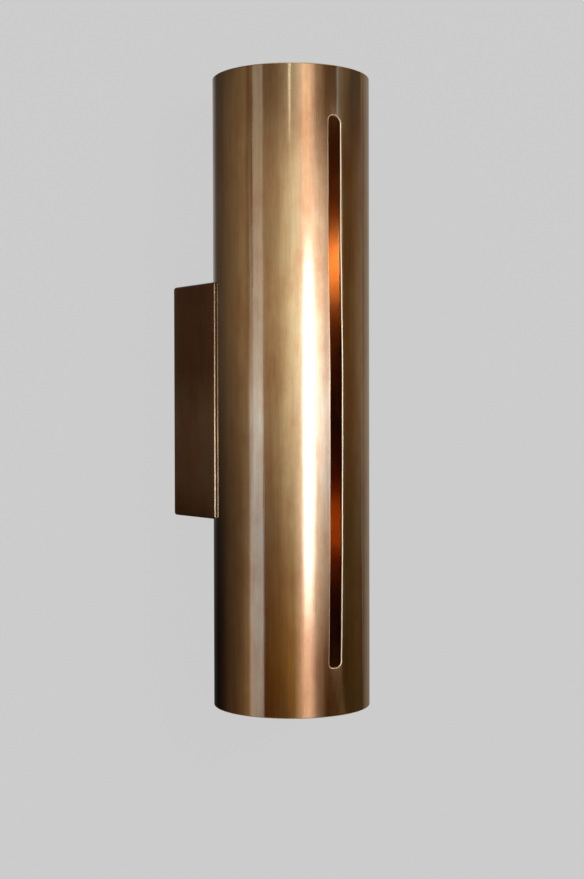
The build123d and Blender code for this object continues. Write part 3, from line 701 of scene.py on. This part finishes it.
brass = aged_brass(
    "aged_brass_brushed_lacquered",
    tones=[(0.33, linear("B28150")), (0.45, linear("BA8C59")), (0.56, linear("BF9560")),
           (0.68, linear("BD9B69"))],
    rough=(0.05, 0.11),
    by_height=[(-0.19, (1.05, 0.92, 0.80)), (-0.08, 1.0)],  # redder towards the bottom
)
dark_brass_painted_light = aged_brass(
    "aged_brass_dark_sheet_painted_light",
    tones=[(0.36, linear("86542A")), (0.50, linear("935F33")), (0.64, linear("8C6840"))],
    rough=(0.16, 0.26),
    # painted reflection and shade: lighter and bluer just below the middle, darker and yellower towards
    # the top
    by_height=[(-0.075, (0.9, 0.85, 0.75)), (-0.052, (1.42, 1.54, 1.8)), (-0.01, (1.36, 1.48, 1.7)),
               (0.02, (0.8, 0.68, 0.45)), (0.075, (0.68, 0.50, 0.22))],
    metal=0.85,
)
cut = aged_brass(
    "cut_face_dark_finish",
    tones=[(0.35, linear("2E1E12")), (0.65, linear("45301E"))],
    rough=(0.42, 0.58),
    by_height=[(0.0, 1.0), (0.1, 1.0)],
)


def filed_brass(name, metal, rough, by_height):
    """Raw brass where a file took the patina off: pale gold, with scratches that run along the upright
    edges and scatter some of the light. by_height multiplies the colour up the piece; on the box's edges
    it is a painted highlight low down and painted shade higher up."""
    made, tree, shader = new_finish(name, Metallic=metal)
    scratch = noise(tree, (1.0, 1.0, 0.02), Scale=900.0, Detail=3.0, Roughness=0.7)
    tone = ramp(tree, scratch, [(0.3, linear("DDB474")), (0.7, linear("F2D296"))])
    tinted = mixed(tree, tone, height_tint(tree, by_height))
    wire(tree, shader, tinted, ranged(tree, scratch, 0.0, 1.0, *rough), (scratch, 0.1, 0.1 * MM))
    return made


def shade_darkened_inside(name):
    """The tube's inside: brown brass, set darker than bare brass as painted shade inside the tube, and
    drawn upright, so that a reflection spreads round the tube and hardly up it."""
    made, tree, shader = new_finish(name, Metallic=1.0, Roughness=0.55, Anisotropic=0.7)
    cloud = noise(tree, Scale=45.0, Detail=5.0)
    # brass brown, made darker as painted shade inside the tube
    tone = ramp(tree, cloud, [(0.3, linear("7E481E")), (0.7, linear("925C2E"))])
    tree.links.new(tone, shader.inputs["Base Color"])
    grain = add(tree, "ShaderNodeTangent", direction_type="UV_MAP", uv_map="unrolled")
    tree.links.new(grain.outputs[0], shader.inputs["Tangent"])
    return made


filed = filed_brass("filed_brass", 0.8, (0.24, 0.4), [(0.0, 1.0), (0.1, 1.0)])
filed_box_painted_light = filed_brass(
    "filed_brass_with_painted_light",
    1.0,
    (0.3, 0.42),
    # a cool painted highlight at the bottom, painted shade towards the top
    [(-0.06, (1.1, 1.3, 1.6)), (-0.02, (1.1, 1.25, 1.5)), (0.0, (0.75, 0.74, 0.8)),
     (0.04, (0.5, 0.48, 0.5)), (0.075, (0.42, 0.4, 0.4))],
)
inside = shade_darkened_inside("brass_inside_painted_shade")
dressed = (
    (tube, "shade_tube", (brass, filed, inside, cut)),
    (box, "wall_box", (dark_brass_painted_light, filed_box_painted_light)),
)
for piece, node, layers in dressed:
    for number, layer in enumerate(layers):
        piece.data.materials[number] = layer
    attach(piece, "fixture")
    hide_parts(node)
    print(node, "gets", [layer.name for layer in layers])

# %% [markdown]
# ## Finishes of the small parts
#
# The parts inside are made of what such lights use: turned brass, nickel-plated steel, zinc-plated steel,
# black phenolic, glazed ceramic, rubber, glass, nylon and PVC. Each finish starts from that material's
# own colour and gloss, and gets the unevenness that its making leaves.


# %% Finishes of the small parts
def grained(name, codes, metal, rough, size, bump=0.1, **sockets):
    """Two close colours and a range of roughness, laid by noise whose patches are about size metres
    across."""
    made, tree, shader = new_finish(name, Metallic=metal, **sockets)
    grain = noise(tree, Scale=1 / size, Detail=4.0, Roughness=0.6)
    tone = ramp(tree, grain, [(0.35, linear(codes[0])), (0.65, linear(codes[1]))])
    wire(tree, shader, tone, ranged(tree, grain, 0.3, 0.7, *rough), (grain, bump, size / 10))
    return made


def striped_pvc(name):
    """Green earth insulation with yellow stripes along the lead, laid by which way its surface faces."""
    made, tree, shader = new_finish(name, Roughness=0.4)
    facing = add(tree, "ShaderNodeNewGeometry").outputs["Normal"]
    stripe_way = {0: facing, 1: (0.35, 0.55, 0.76)}
    across = add(tree, "ShaderNodeVectorMath", stripe_way, operation="DOT_PRODUCT").outputs["Value"]
    stripe = add(tree, "ShaderNodeMath", {0: across}, operation="ABSOLUTE").outputs[0]
    tone = ramp(tree, stripe, [(0.36, linear("E2C51E")), (0.42, linear("2E7A34"))])
    tree.links.new(tone, shader.inputs["Base Color"])
    return made


def lamp_glow(name, strength, warm=0.0):
    """A lit emitter in warm white. A dimmed lamp is redder, which warm adds."""
    base = linear("FFE3B8")
    made, tree, shader = new_finish(name, Base_Color=base, Roughness=0.6, Emission_Strength=strength)
    frost = noise(tree, Scale=1500.0, Detail=2.0)
    dull, bright = (1.0, 0.66 - warm, 0.34 - warm), (1.0, 0.78 - warm, 0.5 - warm)
    tree.links.new(ramp(tree, frost, [(0.2, dull), (0.8, bright)]), shader.inputs["Emission Color"])
    return made


GLASS = {"bump": 0.02, "Transmission_Weight": 1.0, "IOR": 1.5}
NYLON = {"Subsurface_Weight": 0.15, "Subsurface_Scale": 2 * MM}
SHINY = {"Coat_Weight": 0.5}
# packed material: name, two colours, metal, lowest and highest roughness, size of a patch
finishes = {
    "bright_brass": grained("turned_brass", ("B98E3C", "D0A654"), 1.0, (0.18, 0.34), 1.2 * MM),
    "nickel": grained("nickel_plate", ("B9B2A4", "CFC9BD"), 1.0, (0.16, 0.30), 2.5 * MM),
    "zinc_steel": grained("zinc_plated_steel", ("A3A7AB", "C2C3BE"), 1.0, (0.28, 0.46), 4 * MM),
    "black_phenolic": grained(
        "black_phenolic_moulding", ("100D0B", "1E1813"), 0.0, (0.28, 0.42), 0.9 * MM
    ),
    "ceramic": grained("glazed_ceramic", ("DAD5C8", "EAE6DC"), 0.0, (0.12, 0.26), 1.5 * MM, **SHINY),
    "rubber": grained("black_rubber", ("161616", "242322"), 0.0, (0.6, 0.8), 0.6 * MM, bump=0.2),
    "clear_glass": grained("clear_lamp_glass", ("FFFFFF", "FBFDFC"), 0.0, (0.0, 0.02), 8 * MM, **GLASS),
    "black_glass": grained("black_glass_insulator", ("08080A", "121216"), 0.0, (0.06, 0.14), 1 * MM),
    "nylon": grained("natural_nylon", ("DCD6C6", "EAE5D8"), 0.0, (0.38, 0.52), 1.2 * MM, **NYLON),
    "brown_pvc": grained("brown_pvc", ("4E2A18", "633823"), 0.0, (0.34, 0.48), 1 * MM),
    "blue_pvc": grained("blue_pvc", ("1E4F9C", "2B62B4"), 0.0, (0.34, 0.48), 1 * MM),
    "earth_pvc": striped_pvc("earth_pvc"),
}
glows = {
    "lamp_upper_emitter": lamp_glow("lit_emitter_upper", strength=106.0),
    "lamp_lower_emitter": lamp_glow("lit_emitter_lower", strength=25.0, warm=0.36),
}
for node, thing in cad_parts.items():
    packed = thing.data.materials[0].name if thing.data.materials else ""
    if node in glows:
        thing.data.materials[0] = glows[node]
    elif packed in finishes:
        thing.data.materials[0] = finishes[packed]
    elif node not in ("shade_tube", "wall_box"):
        print("no finish for", node, packed)
for node in ("lamp_upper_globe", "lamp_lower_globe", "lamp_upper_stem", "lamp_lower_stem"):
    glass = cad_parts[node]  # thin clear glass lets the lamp's light through
    glass.visible_shadow = glass.visible_diffuse = glass.visible_glossy = False
print("finishes of small parts:", len(finishes), "and of lamps:", len(glows))
